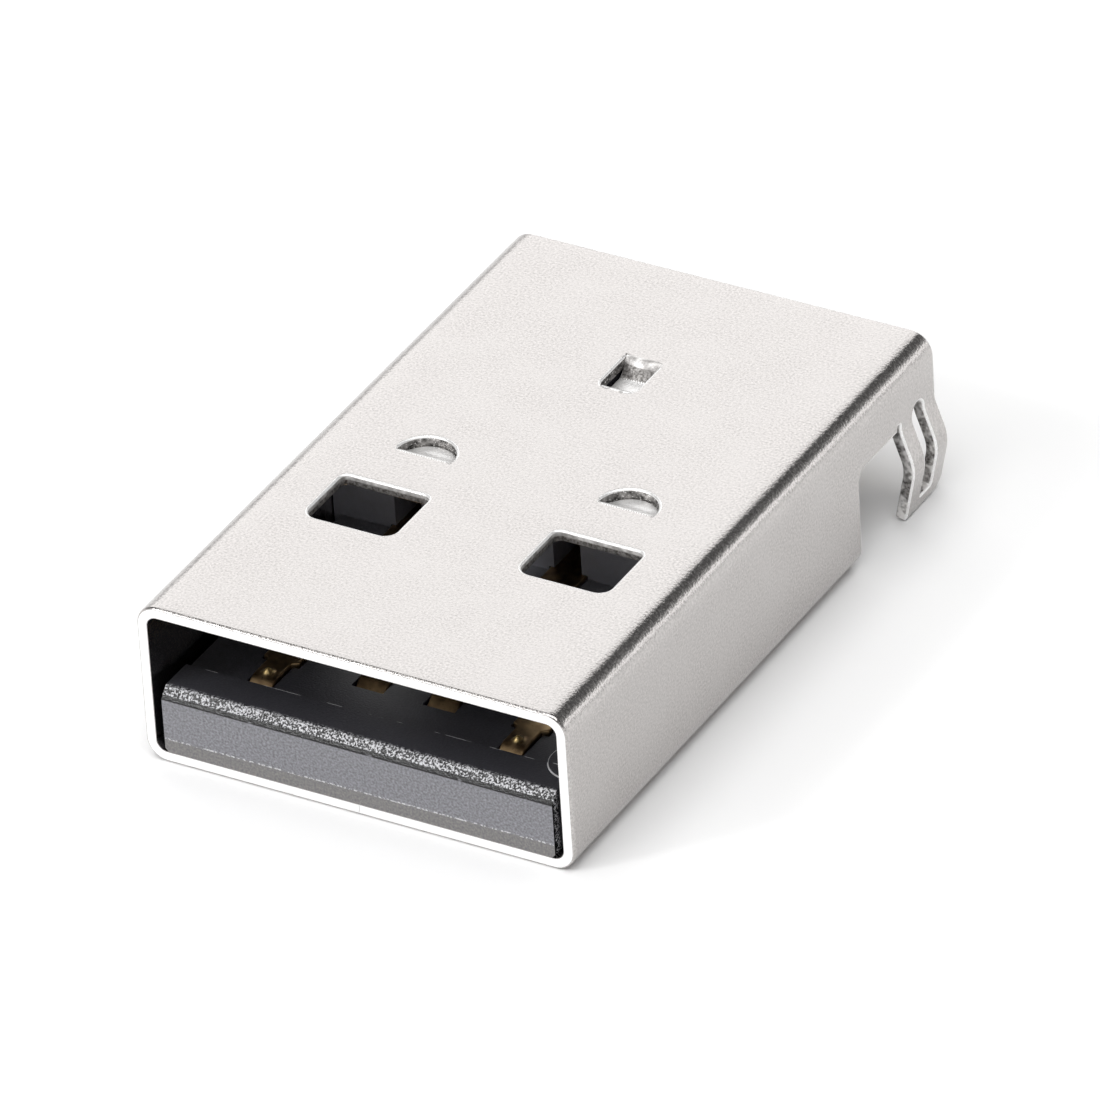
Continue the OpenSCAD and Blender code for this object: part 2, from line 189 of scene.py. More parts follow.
def halfMoon(x):  # slit of a stop, run clockwise from its left tip over the rear to its right tip
    radius = sheet["stopRadius"]
    centre = sheet["stopFront"] + sheet["stopLength"] - radius
    dip = math.asin((centre - sheet["stopFront"]) / radius)
    angle = np.linspace(math.pi + dip, -dip, 41)
    return np.column_stack((x + radius * np.cos(angle), centre + radius * np.sin(angle)))


def bridgeSlits():  # the left slit runs to the rear, the right one back to the front
    half, corner, front = sheet["bridgeWidth"] / 2, sheet["bridgeRound"], sheet["bridgeFront"]
    angle = np.linspace(-math.pi / 2, -math.pi, 9)[:, None]
    bend = np.array([-half + corner, front + corner]) + corner * np.hstack((np.cos(angle), np.sin(angle)))
    left = cutRuns(np.vstack((bend, [[-half, front + sheet["bridgeLength"]]])), sheet["fineStep"], False)
    return left, (left * [-1, 1])[::-1]


def blankOutline():
    # right half, then mirrored: seam edge, rear edge of the floor, heel, rear edge of the side, notch, nick, leg
    heights = np.linspace(sheet["thick"] / 2 + 0.02, sheet["heel"], 4)
    around = seam - flat - middle * np.arccos(1 - (heights - sheet["thick"] / 2) / middle)
    rear = sheet["floorEnd"] + sheet["heel"] * np.sqrt(1 - (1 - heights / sheet["heel"]) ** 2)
    nickFront = sheet["legFront"] - sheet["nickWidth"]
    seat, nickTop, legFront = down(sheet["seat"]), down(sheet["nickTop"]), sheet["legFront"]
    half = [(seam - flat + 0.05, sheet["floorEnd"])] + list(zip(around, rear)) + [(seat, sheet["sideEnd"])]
    half += [(seat, nickFront), (nickTop, nickFront), (nickTop, legFront)]
    half += [(legEnd, legFront), (legEnd, sheet["length"])]
    radii = [0.1] + [0] * len(heights) + [sheet["notchRound"], 0, 0.05, 0.05, 0, sheet["legCorner"]]
    gap = sheet["seamGap"] / 2
    path = np.array([(0, 0)] + sheet["dovetail"] + [(0, sheet["floorEnd"])], float)
    lock = leftNormals(path, False) * gap
    rightSeam = [(seam - x, y) for x, y in path - lock]
    leftSeam = [(-seam - x, y) for x, y in path + lock][::-1]
    lockRadii = [0, 0.1, 0.15, 0.15, 0.1, 0]  # neck and head of the dovetail
    points = rightSeam + half + [(-s, y) for s, y in half[::-1]] + leftSeam
    return points, lockRadii + radii + radii[::-1] + lockRadii[::-1]


def rectangle(x0, x1, y0, y1):  # clockwise, so that the sheet lies on its left
    return [(x0, y0), (x0, y1), (x1, y1), (x1, y0)]


def gridPoints(loops, slits, margin):
    # columns close together over bends and pressed shapes, clear of every cut by the rolled edge's width
    bendCuts = [flat + arc * i / 9 for i in range(10)] + [flat + arc + side + arc * i / 9 for i in range(10)]
    flatCuts = [np.linspace(0, flat, 13), np.linspace(flat + arc, flat + arc + side, 9)]
    flatCuts.append(np.linspace(seam - flat, seam + 1.5, 14))
    half = np.unique(np.round(np.concatenate(flatCuts + [bendCuts]), 5))
    columns = np.concatenate((-half[:0:-1], half))
    rows = np.arange(sheet["coarseStep"] / 2, sheet["length"], sheet["coarseStep"])
    coarse = np.stack(np.meshgrid(columns, rows), -1).reshape(-1, 2)
    leg = patchGrid(leanFrom - 0.4, legEnd, sheet["legFront"], sheet["length"], sheet["legStep"])
    dense = [leg, leg * [-1, 1]]
    reach, cell = sheet["stopRadius"] + 0.1, sheet["patchStep"]
    front, bridgeFront = sheet["stopFront"], sheet["bridgeFront"]
    for x in (-sheet["stopX"], sheet["stopX"]):
        dense.append(patchGrid(x - reach, x + reach, front - 0.1, front + sheet["stopLength"] + 0.1, cell))
    dense.append(patchGrid(-0.6, 0.6, bridgeFront - 0.1, bridgeFront + sheet["bridgeLength"] + 0.1, cell))
    points = np.vstack([coarse] + dense)
    keep = np.ones(len(points), bool)
    for number, loop in enumerate(loops):
        grown = loop + leftNormals(loop, True) * margin * 1.2  # a fifth past the roll
        keep &= insideLoop(points, grown) == (number == 0)
    points = points[keep]
    for slit in slits:
        apart = np.linalg.norm(points[:, None] - slit[None], axis=2).min(axis=1)
        points = points[apart > margin * 1.1]
    return points


def patchGrid(x0, x1, y0, y1, cell):
    return np.stack(np.meshgrid(np.arange(x0, x1, cell[0]), np.arange(y0, y1, cell[1])), -1).reshape(-1, 2)


def shellMesh():
    step, roll = sheet["pointStep"], sheet["rollWidth"]
    loops = [roundCorners(*blankOutline(), step)]
    winX, winW = sheet["windowX"], sheet["windowWidth"] / 2
    winY = (sheet["windowFront"], sheet["windowFront"] + sheet["windowLength"])
    for s in (-seam + winX, -winX, winX, seam - winX):
        loops.append(roundCorners(rectangle(s - winW, s + winW, *winY), sheet["windowRounds"], step))
    legMiddle = (sheet["legFront"] + sheet["length"]) / 2
    slotY = (legMiddle - sheet["slotWidth"] / 2, legMiddle + sheet["slotWidth"] / 2)
    slotEnd = legEnd - (sheet["slotLow"] - sheet["tip"]) / math.cos(leanTip)
    slotTop = down(sheet["slotHigh"])
    full = sheet["slotWidth"] / 2 * 0.98  # a hair under half the width, so the round end has two corners
    for sign in (-1, 1):
        ends = sorted((sign * slotTop, sign * slotEnd))
        radii = [full, full, 0.05, 0.05] if sign > 0 else [0.05, 0.05, full, full]
        loops.append(roundCorners(rectangle(*ends, *slotY), radii, sheet["fineStep"]))
    slits = [halfMoon(-sheet["stopX"]), halfMoon(sheet["stopX"])] + list(bridgeSlits())
    flaps = [slits[0], slits[1], np.vstack((slits[2], slits[3]))]

    # rings: quarter ellipse of the rolled edge, sheet side of every cut; slits fade out at their tips
    turns = np.radians([0, 25, 50, 75, 90])
    points, drops, burrs, edges, rims = [], [], [], [], []
    count = 0
    for number, line in enumerate(loops + slits):
        closed = number < len(loops)
        normals = leftNormals(line, closed)
        fade = np.ones(len(line))
        if not closed:
            along = np.concatenate(([0], np.cumsum(np.linalg.norm(np.diff(line, axis=0), axis=1))))
            fade = np.clip(np.minimum(along, along[-1] - along) / sheet["slitFade"], 0, 1) ** 0.5
        sides = (1, -1) if not closed else (1,)
        for sideOf in sides:
            for k, turn in enumerate(turns):
                if sideOf < 0 and k == 0:
                    continue
                width = roll if sideOf > 0 else roll * 0.5  # the pressed flap's own roll is half as wide
                ring = line + normals * (sideOf * width * (1 - math.cos(turn)) * fade)[:, None]
                keep = fade > 0.05 if (not closed and k) else fade >= 0  # rings end where the roll has faded
                ring, fades = ring[keep], fade[keep]
                index = np.arange(count, count + len(ring))
                points.append(ring)
                drops.append(sheet["rollDrop"] * (1 - math.sin(turn)) * fades)
                burrs.append(sheet["burr"] * (1 if k == 0 else 0) * fades)
                pairs = np.column_stack((index, np.roll(index, -1)))
                edges.append(pairs if closed else pairs[:-1])
                if k == 0:
                    rims.append(index)
                count += len(ring)
    grid = gridPoints(loops, slits, roll)
    blank = np.vstack(points + [grid])
    drops = np.concatenate(drops + [np.zeros(len(grid))])
    burrs = np.concatenate(burrs + [np.zeros(len(grid))])
    flatPoints, fixedEdges = [Vector(p) for p in blank], np.vstack(edges).tolist()
    found, _, faces, origins, _, _ = delaunay_2d_cdt(flatPoints, fixedEdges, [], 0, 1e-6, True)
    source = np.array([ids[0] if ids else -1 for ids in origins])
    renamed = np.full(len(blank), -1)
    for new, ids in enumerate(origins):
        renamed[ids] = new
    blank = np.array([tuple(p) for p in found])
    drops = np.where(source < 0, 0, drops[source])
    burrs = np.where(source < 0, 0, burrs[source])
    triangles = np.array([f for f in faces if len(f) == 3])
    centres = blank[triangles].mean(axis=1)
    keep = insideLoop(centres, loops[0])
    for loop in loops[1:]:
        keep &= ~insideLoop(centres, loop)
    triangles, centres = triangles[keep], centres[keep]

    # pressed flaps get their own vertices along the slits and are moved in by their depth
    flapOf = np.zeros(len(triangles), int)
    for number, flap in enumerate(flaps):
        flapOf[insideLoop(centres, flap)] = number + 1
    slitRims = [renamed[rim] for rim in rims[len(loops):]]
    twin = np.arange(len(blank))
    inner = np.concatenate([rim[1:-1] for rim in slitRims])
    twin[inner] = len(blank) + np.arange(len(inner))
    blank = np.vstack((blank, blank[inner]))
    drops, burrs = np.append(drops, drops[inner] * 0.5), np.append(burrs, burrs[inner])
    triangles[flapOf > 0] = twin[triangles[flapOf > 0]]
    depth = np.zeros(len(blank))
    stop, bridge = pressIn(blank)
    for number, amount in ((1, stop), (2, stop), (3, bridge)):
        used = np.unique(triangles[flapOf == number])
        depth[used] = amount[used]

    half = sheet["thick"] / 2
    outer, inside = fold(blank, half - drops - depth), fold(blank, burrs - half - depth)
    total = len(blank)
    solid = [triangles, triangles[:, ::-1] + total]
    walls = [(renamed[rim], np.roll(renamed[rim], -1)) for rim in rims[:len(loops)]]
    walls += [(rim[:-1], rim[1:]) for rim in slitRims]
    walls += [(twin[rim[1:]], twin[rim[:-1]]) for rim in slitRims]
    for a, b in walls:
        solid += [np.column_stack((a, a + total, b + total)), np.column_stack((a, b + total, b))]
    piece = newPiece("nickel_shell", np.vstack((outer, inside)), np.vstack(solid), sheet["smoothBelow"])
    cut = np.zeros(len(piece.data.polygons), np.int32)
    cut[2 * len(triangles):] = 1
    cut[2 * len(triangles) + 2 * sum(len(rim) for rim in rims[:len(loops)]):] = 3
    # pressed flaps and rolled edges get material 2, a painted highlight, save the mouth's roll and the bridge's
    # steep rear ramp
    rolled = drops[triangles].mean(axis=1) > sheet["rollDrop"] * 0.1
    rolled &= centres[:, 1] > sheet["burnishFrom"]  # the mouth's own roll stays matt
    cut[:len(triangles)][(flapOf > 0) | rolled] = 2
    steep = centres[:, 1] > sheet["bridgeFront"] + sheet["bridgeLength"] - sheet["rampRear"] - 0.08
    cut[:len(triangles)][(flapOf == 3) & steep] = 1
    # material 2 is a painted highlight, material 3 holds painted shade and glints
    piece.data.polygons.foreach_set("material_index", cut)  # 1 sheared edge, 2 pressed metal, 3 torn slit
    return piece


def linear(hexColour):  # sRGB hex to linear: ((c + 0.055) / 1.055) ^ 2.4 above 0.04045, c / 12.92 below
    parts = [int(hexColour[i:i + 2], 16) / 255 for i in (1, 3, 5)]
    return [((c + 0.055) / 1.055) ** 2.4 if c > 0.04045 else c / 12.92 for c in parts] + [1]


def addNode(tree, kind, inputs, output=0, **settings):
    # one shader node; each input, by name or place, gets an output to link, a hex colour or a plain value
    node = tree.nodes.new("ShaderNode" + kind)
    for name, value in settings.items():
        setattr(node, name, value)
    for name, value in inputs.items():
        if isinstance(value, bpy.types.NodeSocket):
            tree.links.new(value, node.inputs[name])
        else:
            node.inputs[name].default_value = linear(value) if isinstance(value, str) else value
    return node.outputs[output] if node.outputs else node


def newMaterial(name):
    material = bpy.data.materials.new(name)
    material.use_nodes = True
    tree = material.node_tree
    tree.nodes.clear()
    return material, tree


strip = {  # the four stamped contacts, mm; runs are measured from the mouth
    "thick": 0.20, "width": 1.00, "round": 0.04, "top": 2.05, "acrossPoints": 19, "pathStep": 0.05,
    "noseDrop": 0.24, "noseRamp": 0.36, "noseLength": 1.23, "noseFade": 0.1, "tipIn": 0.25, "tipOut": 0.08,
    "bend": 0.30, "riser": (11.4, 12.8), "deck": 3.42, "blockRear": 16.9, "tail": (17.50, 0.15),
    "tailWidth": 0.60, "tailFade": 0.06, "dimpleAt": 0.62, "dimpleHeight": 0.15, "dimpleSpread": 0.105,
    "smoothBelow": 40,
    # place across the plug, where the contact comes out of the tongue, width of its nose
    "places": {"power": (3.5, 1.22, 0.66), "data_minus": (1.0, 2.33, 0.82),
               "data_plus": (-1.0, 2.33, 0.82), "ground": (-3.5, 1.22, 0.66)},
}


def stripPath(out):  # middle line of a contact in y and z, bends rounded, cut into short steps
    half, (tailAt, tailTip) = strip["thick"] / 2, strip["tail"]
    low, level, deck = strip["top"] - strip["noseDrop"] - half, strip["top"] - half, strip["deck"] - half
    start, end = out - strip["tipIn"], out + strip["tipOut"]
    corners = [(start, low), (end, low), (end + strip["noseRamp"], level), (strip["riser"][0], level),
               (strip["riser"][1], deck), (tailAt, deck), (tailAt, tailTip)]
    far = -9  # the loop is closed well below the plug and cut off again at the tail's tip
    radii = [0] + [strip["bend"]] * 5 + [0, 0, 0]
    closed = roundCorners(corners + [(tailAt, far), (start, far)], radii, strip["pathStep"])
    return closed[:np.argmin(np.abs(closed - strip["tail"]).sum(axis=1)) + 1]


def contactMesh(name, x, out, noseWidth):
    # rounded-rectangle section carried along the path: across = side * (width / 2 - round) + corner across,
    # up = level * (thick / 2 - round) + corner up; dimple: height * exp(-(distance / spread)^2) on top
    path = stripPath(out)
    along = np.gradient(path, axis=0)
    along /= np.linalg.norm(along, axis=1)[:, None]
    normal = np.column_stack((-along[:, 1], along[:, 0]))
    soft, count = strip["round"], strip["acrossPoints"]
    corner = np.radians([90, 60, 30, 0])
    quarter = np.column_stack((np.ones(4), np.cos(corner) * soft, np.sin(corner) * soft, np.ones(4)))
    sides, ones = np.linspace(-1, 1, count), np.ones(count)
    topRun = np.column_stack((sides, 0 * ones, soft * ones, ones))
    ring = np.vstack((quarter[::-1] * [-1, -1, 1, 1], topRun[1:-1], quarter,
                      quarter[::-1] * [1, 1, -1, -1], quarter * [-1, -1, -1, -1]))
    y = path[:, 0]
    # width: nose to full by the smooth step t * t * (3 - 2t), then evenly down to the tail
    share = np.clip((y - out - strip["noseLength"]) / strip["noseFade"] + 0.5, 0, 1)
    width = noseWidth + (strip["width"] - noseWidth) * share * share * (3 - 2 * share)
    late = np.clip((y - strip["blockRear"]) / strip["tailFade"], 0, 1)
    width = width + (strip["tailWidth"] - width) * late
    across = ring[None, :, 0] * (width[:, None] / 2 - soft) + ring[None, :, 1]
    up = ring[None, :, 3] * (strip["thick"] / 2 - soft) + ring[None, :, 2] + 0 * across
    apart = np.hypot(across, (y - out - strip["dimpleAt"])[:, None])
    up = up + strip["dimpleHeight"] * np.exp(-(apart / strip["dimpleSpread"]) ** 2) * (ring[None, :, 3] > 0)
    rear = path[:, None, 0] + normal[:, None, 0] * up - sheet["length"] / 2
    points = np.stack((across + x, rear, path[:, None, 1] + normal[:, None, 1] * up), -1)
    size, rows = len(ring), len(path)
    row, column = np.meshgrid(np.arange(rows - 1), np.arange(size), indexing="ij")
    near, far = (column + 1) % size, row + 1
    quads = np.stack((row * size + column, row * size + near, far * size + near, far * size + column), -1)
    ends = [list(range(size))[::-1], list(range((rows - 1) * size, rows * size))]
    return newPiece(name, points.reshape(-1, 3), quads.reshape(-1, 4).tolist() + ends, strip["smoothBelow"])


mouth = -sheet["length"] / 2  # y of the mouth, mm
wide, narrow = (0.3, 0.7), (0.35, 0.65)  # noise values between which one colour turns into the next


def placeInMm(tree):  # object coordinates in mm, then their three parts
    place = addNode(tree, "TexCoord", {}, "Object")
    place = addNode(tree, "VectorMath", {0: place, "Scale": 1 / mm}, operation="SCALE")
    parts = [addNode(tree, "SeparateXYZ", {0: place}, axis) for axis in "XYZ"]
    return place, *parts


def layer(tree, below, colour, *gates):
    # the colour lies over the one below where every gate is open: a gate is a 0 to 1 output, or
    # (output, low, high), which opens evenly from low to high, and low may be the larger one
    share = None
    for gate in gates:
        if isinstance(gate, tuple):
            output, low, high = gate
            gate = addNode(tree, "MapRange", {"Value": output, "From Min": low, "From Max": high}, "Result")
        share = gate if share is None else addNode(tree, "Math", {0: share, 1: gate}, operation="MULTIPLY")
    return addNode(tree, "Mix", {0: share, 6: below, 7: colour}, 2, data_type="RGBA")


def closeMaterial(tree, tint, rough, height, strength, depth, **more):
    # relief by the height output, its depth in mm, then the shader and the material's output
    relief = addNode(tree, "Bump", {"Height": height, "Strength": strength, "Distance": depth * mm})
    inputs = {"Base Color": tint, "Roughness": rough, "Normal": relief}
    shader = addNode(tree, "BsdfPrincipled", inputs | {name.replace("_", " "): more[name] for name in more})
    addNode(tree, "OutputMaterial", {"Surface": shader})


nickelLook = {  # grains to the millimetre, relief depth in mm
    "dark": "#A8A5A3", "light": "#CFCBC9", "cloud": "#C4C1BF", "rough": (0.10, 0.26),
    "grainPerMm": 16, "sparkPerMm": 45, "cloudPerMm": 0.8, "cloudFrom": (0.35, 0.75), "sparkFrom": (0.2, 0.9),
    "grain": 0.7, "grainDepth": 0.01,
}


def nickelMaterial():
    # matt nickel plate on cold-rolled sheet: warm white-grey, satin, with the rolled grain sparkling through;
    # the real grain is finer than 0.02 mm and is drawn at about 0.06 mm, so that it shows
    look = nickelLook
    material, tree = newMaterial("matt nickel plate")
    place = placeInMm(tree)[0]
    grain = addNode(tree, "TexNoise", {"Vector": place, "Scale": look["grainPerMm"], "Detail": 3}, "Fac")
    spark = addNode(tree, "TexNoise", {"Vector": place, "Scale": look["sparkPerMm"], "Detail": 2}, "Fac")
    cloud = addNode(tree, "TexNoise", {"Vector": place, "Scale": look["cloudPerMm"], "Detail": 3}, "Fac")
    tint = layer(tree, look["dark"], look["light"], (grain, *wide))
    tint = layer(tree, tint, look["cloud"], (cloud, *look["cloudFrom"]), (spark, *look["sparkFrom"]))
    smooth, dull = look["rough"]
    ends = {"From Min": wide[0], "From Max": wide[1], "To Min": smooth, "To Max": dull}
    rough = addNode(tree, "MapRange", {"Value": grain} | ends, "Result")
    closeMaterial(tree, tint, rough, grain, look["grain"], look["grainDepth"], Metallic=1)
    return material


# dark is painted shade of the narrow slits and speck painted glints, over the grey torn steel
slitLook = {"dark": "#2A2826", "shade": "#A9A6A4", "speck": "#F4F2F0", "speckFrom": (0.6, 0.66),
            "grainPerMm": 16, "patchPerMm": 5, "grain": 0.6, "grainDepth": 0.02, "metal": 0.6, "rough": 0.4}


def tornMaterial():
    # bare torn steel in the slits: rough grey, with dark patches of painted shade and bright specks of painted
    # glint
    look = slitLook
    material, tree = newMaterial("torn steel of the slits, painted shade and glints")
    place = placeInMm(tree)[0]
    grain = addNode(tree, "TexNoise", {"Vector": place, "Scale": look["grainPerMm"], "Detail": 4}, "Fac")
    patch = addNode(tree, "TexNoise", {"Vector": place, "Scale": look["patchPerMm"], "Detail": 2}, "Fac")
    tint = layer(tree, look["dark"], look["shade"], (patch, *narrow))
    tint = layer(tree, tint, look["speck"], (grain, *look["speckFrom"]))
    closeMaterial(tree, tint, look["rough"], grain, look["grain"], look["grainDepth"], Metallic=look["metal"])
    return material


edgeLook = {  # the sheet's sheared faces; heights from the underside and runs from the middle or the mouth, mm
    # cut is whiter than the metal partly as a painted highlight; rim, pure white, is a painted highlight
    "cut": "#F4F2F0", "shade": "#A9A6A4", "torn": "#55524F", "rim": "#FFFFFF", "metal": 0.45, "rough": 0.42,
    "grainPerMm": 14, "patchPerMm": 4, "grain": 0.4, "grainDepth": 0.012,
    "tornUnder": (4.37, 4.34), "tornOver": (4.0, 4.1),  # lower part of the window walls
    "legBehind": (6.6, 6.8), "legUnder": (2.8, 2.6), "legPatch": (0.42, 0.58), "rimFrom": (0.03, 0.005),
}


def shearedMaterial():
    # nickel over the sheared edge of the sheet: whiter and duller than the flat, the white partly burnish and
    # partly painted highlight, dark where the metal tore low on the window walls, darker in patches on the legs
    look = edgeLook
    material, tree = newMaterial("nickel over sheared edge")
    place, x, y, z = placeInMm(tree)
    grain = addNode(tree, "TexNoise", {"Vector": place, "Scale": look["grainPerMm"], "Detail": 4}, "Fac")
    patch = addNode(tree, "TexNoise", {"Vector": place, "Scale": look["patchPerMm"], "Detail": 2}, "Fac")
    tint = layer(tree, look["cut"], look["shade"], (patch, *narrow))
    torn = layer(tree, look["torn"], look["shade"], (grain, *narrow))
    tint = layer(tree, tint, torn, (z, *look["tornUnder"]), (z, *look["tornOver"]))
    # darker in patches on the legs' cut faces, below the seat
    tint = layer(tree, tint, torn, (y, *look["legBehind"]), (z, *look["legUnder"]), (patch, *look["legPatch"]))
    # painted highlight: the mouth's rim drawn pure white
    behind, before = look["rimFrom"]
    tint = layer(tree, tint, look["rim"], (y, mouth + behind, mouth + before))
    closeMaterial(tree, tint, look["rough"], grain, look["grain"], look["grainDepth"], Metallic=look["metal"])
    return material


# bright and dull are nickel whitened as a painted highlight
pressedLook = {"bright": "#FFFFFF", "dull": "#E4E2E0", "metal": 0.6, "rough": 0.36,
               "grainPerMm": 30, "dentPerMm": 7, "dent": 0.3, "dentDepth": 0.02}


def pressedMaterial():
    # pressed flaps and rolled edges: brighter than the flat round it as a painted highlight, dented where the
    # punch slipped
    look = pressedLook
    material, tree = newMaterial("nickel with painted highlight")
    place = placeInMm(tree)[0]
    grain = addNode(tree, "TexNoise", {"Vector": place, "Scale": look["grainPerMm"], "Detail": 2}, "Fac")
    dents = addNode(tree, "TexNoise", {"Vector": place, "Scale": look["dentPerMm"], "Detail": 3}, "Fac")
    tint = layer(tree, look["dull"], look["bright"], (grain, *wide))
    closeMaterial(tree, tint, look["rough"], dents, look["dent"], look["dentDepth"], Metallic=look["metal"])
    return material


plasticLook = {  # colours, grains to the millimetre, noise values between which a mark shows
    # the last colour on the next line is painted light, for the band of the tongue seen through the windows
    "body": "#343439", "bodyLight": "#3E3E43", "bodyFrom": (0.35, 0.7), "windowLight": "#85858C",
    # face, faceLight and low paint the front face grey as a sheen of the front lamps; edge is a painted
    # highlight
    "face": "#68686B", "faceLight": "#94949A", "low": "#8A8784", "edge": "#C8C8CA",
    # leadGlint paints glints on the lead-in over the near black leadDark, which also draws painted shade lines
    "leadDark": "#0C0C0D", "leadGlint": "#D0D0D4", "leadFrom": (0.48, 0.58),
    "dotsFrom": (0.5, 0.55), "rimFrom": (0.3, 0.4), "dashesFrom": (0.5, 0.56),
    "grainPerMm": 16, "speckPerMm": 20, "patchPerMm": 1.6, "grain": 0.5, "grainDepth": 0.015,
    "rough": (0.323, 0.195), "specular": 0.35, "ior": 1.5,  # roughness of the body, then of the lead
}
tongue = {  # marks on the moulding, mm from the mouth and from the underside
    "lead": 0.26, "leadFade": (0.1, -0.06), "front": (0.08, 0.07), "face": (0.012, 0.004), "faceTop": 1.86,
    "rimFade": (-0.05, -0.03), "parting": 0.69, "partingFade": (0.02, -0.04), "partingHalf": 0.022,
    "bar": 1.22, "barHalf": 0.014, "top": 2.12, "topFade": (-0.03, -0.01),
    "padX": 5.40, "padY": 1.55, "padRadius": 0.79, "padHalf": 0.016,
    # where the painted light seen through the windows begins and ends, from the mouth
    "windowLightFrom": (3.5, 4), "windowLightTo": (10, 9.5),
}


def fade(output, base, ends):  # a gate whose ends are measured from the base
    return output, base + ends[0], base + ends[1]


def plasticMaterial():
    # glass-filled black PBT: near black off the polished tool; the front face painted grey, a painted sheen of
    # the front lamps
    look, part = plasticLook, tongue
    material, tree = newMaterial("black PBT")
    place, x, y, z = placeInMm(tree)
    grain = addNode(tree, "TexNoise", {"Vector": place, "Scale": look["grainPerMm"], "Detail": 4}, "Fac")
    speck = addNode(tree, "TexNoise", {"Vector": place, "Scale": look["speckPerMm"], "Detail": 2}, "Fac")
    patch = addNode(tree, "TexNoise", {"Vector": place, "Scale": look["patchPerMm"], "Detail": 2}, "Fac")

    body = layer(tree, look["body"], look["bodyLight"], (grain, *look["bodyFrom"]))
    # painted light: the body drawn greyer over the band seen through the windows, as if lit through them
    body = layer(tree, body, look["windowLight"], fade(y, mouth, part["windowLightFrom"]), fade(y, mouth, part["windowLightTo"]))
    # the lead-in chamfer: painted glints over near black
    leadZone = fade(y, mouth + part["lead"], part["leadFade"])
    lead = layer(tree, look["leadDark"], look["leadGlint"], (speck, *look["leadFrom"]))
    body = layer(tree, body, lead, leadZone)
    # painted shade: a dark line on the lead-in just behind the front face
    body = layer(tree, body, look["leadDark"], fade(y, mouth, part["front"]))

    # the front face, grey as a painted sheen: its lower part past the parting line, painted highlight dots on
    # that line, a painted shade line along its top
    face = layer(tree, look["face"], look["faceLight"], (grain, *wide))
    low = layer(tree, look["low"], look["face"], (grain, *wide))
    face = layer(tree, face, low, fade(z, part["parting"], part["partingFade"]))
    parting = addNode(tree, "Math", {0: z, 1: part["parting"], 2: part["partingHalf"]}, operation="COMPARE")
    # painted highlight: bright dots on the parting line
    face = layer(tree, face, look["edge"], parting, (speck, *look["dotsFrom"]))
    topLine = fade(z, part["faceTop"], part["rimFade"])
    # painted shade along the face's top edge
    face = layer(tree, face, look["leadDark"], topLine, (patch, *look["rimFrom"]))
    # the front face's painted sheen laid over the body
    body = layer(tree, body, face, fade(y, mouth, part["face"]))

    # painted highlights, on the top alone: dashes where the step behind the front bar catches light, and the
    # ring of the ejector pin's recess
    upper = fade(z, part["top"], part["topFade"])
    bar = addNode(tree, "Math", {0: y, 1: mouth + part["bar"], 2: part["barHalf"]}, operation="COMPARE")
    body = layer(tree, body, look["edge"], bar, (patch, *look["dashesFrom"]), upper)
    centre = (part["padX"], mouth + part["padY"], part["top"])
    apart = addNode(tree, "VectorMath", {0: place, 1: centre}, "Value", operation="DISTANCE")
    ring = addNode(tree, "Math", {0: apart, 1: part["padRadius"], 2: part["padHalf"]}, operation="COMPARE")
    # painted highlight on the ring of the ejector pin's recess
    body = layer(tree, body, look["edge"], ring, upper)

    bodyRough, leadRough = look["rough"]
    ends = {"From Min": leadZone[1], "From Max": leadZone[2], "To Min": bodyRough, "To Max": leadRough}
    rough = addNode(tree, "MapRange", {"Value": y} | ends, "Result")
    closeMaterial(tree, body, rough, speck, look["grain"], look["grainDepth"],
                  IOR=look["ior"], Specular_IOR_Level=look["specular"])
    return material


# spark is a painted highlight for the dimples
goldLook = {"brown": "#7C664C", "yellow": "#BDA27A", "spark": "#FFE2A0", "sparkFrom": (0.01, 0.05),
            "grainPerMm": 14, "patchPerMm": 2.5, "rough": (0.22, 0.4), "grain": 0.3, "grainDepth": 0.006}


def goldMaterial():
    # gold flash over rolled phosphor bronze: yellow-brown in the dark mouth, a painted highlight on the crest of
    # each dimple
    look = goldLook
    material, tree = newMaterial("gold flash on bronze")
    place, x, y, z = placeInMm(tree)
    grain = addNode(tree, "TexNoise", {"Vector": place, "Scale": look["grainPerMm"], "Detail": 3}, "Fac")
    patch = addNode(tree, "TexNoise", {"Vector": place, "Scale": look["patchPerMm"], "Detail": 2}, "Fac")
    tint = layer(tree, look["brown"], look["yellow"], (patch, *wide))
    # painted highlight: the crest of the dimple drawn in spark colour
    tint = layer(tree, tint, look["spark"], fade(z, strip["top"], look["sparkFrom"]))
    smooth, dull = look["rough"]
    rough = addNode(tree, "MapRange", {"Value": grain, "To Min": smooth, "To Max": dull}, "Result")
    closeMaterial(tree, tint, rough, grain, look["grain"], look["grainDepth"], Metallic=1)
    return material


nickel, plastic, gold = nickelMaterial(), plasticMaterial(), goldMaterial()
print("nickel, moulding and gold materials mixed")

shell = shellMesh()
for material in (nickel, shearedMaterial(), pressedMaterial(), tornMaterial()):
    shell.data.materials.append(material)
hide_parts("shell")
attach(shell, "root")
print("shell folded:", len(shell.data.polygons), "faces")

for name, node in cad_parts.items():
    node.data.materials.clear()
    node.data.materials.append(nickel if name == "shell" else plastic if name == "insulator" else gold)
print("insulator kept as it comes, in black PBT")

for name, (x, out, noseWidth) in strip["places"].items():
    piece = contactMesh(name + "_contact", x, out, noseWidth)
    piece.data.materials.append(gold)
    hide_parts("contact_" + name)
    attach(piece, "root")
print("contacts drawn:", len(strip["places"]))


sweep = {"half": 4.0, "colour": "#FAFAFA", "rough": 0.9}  # the ground, m

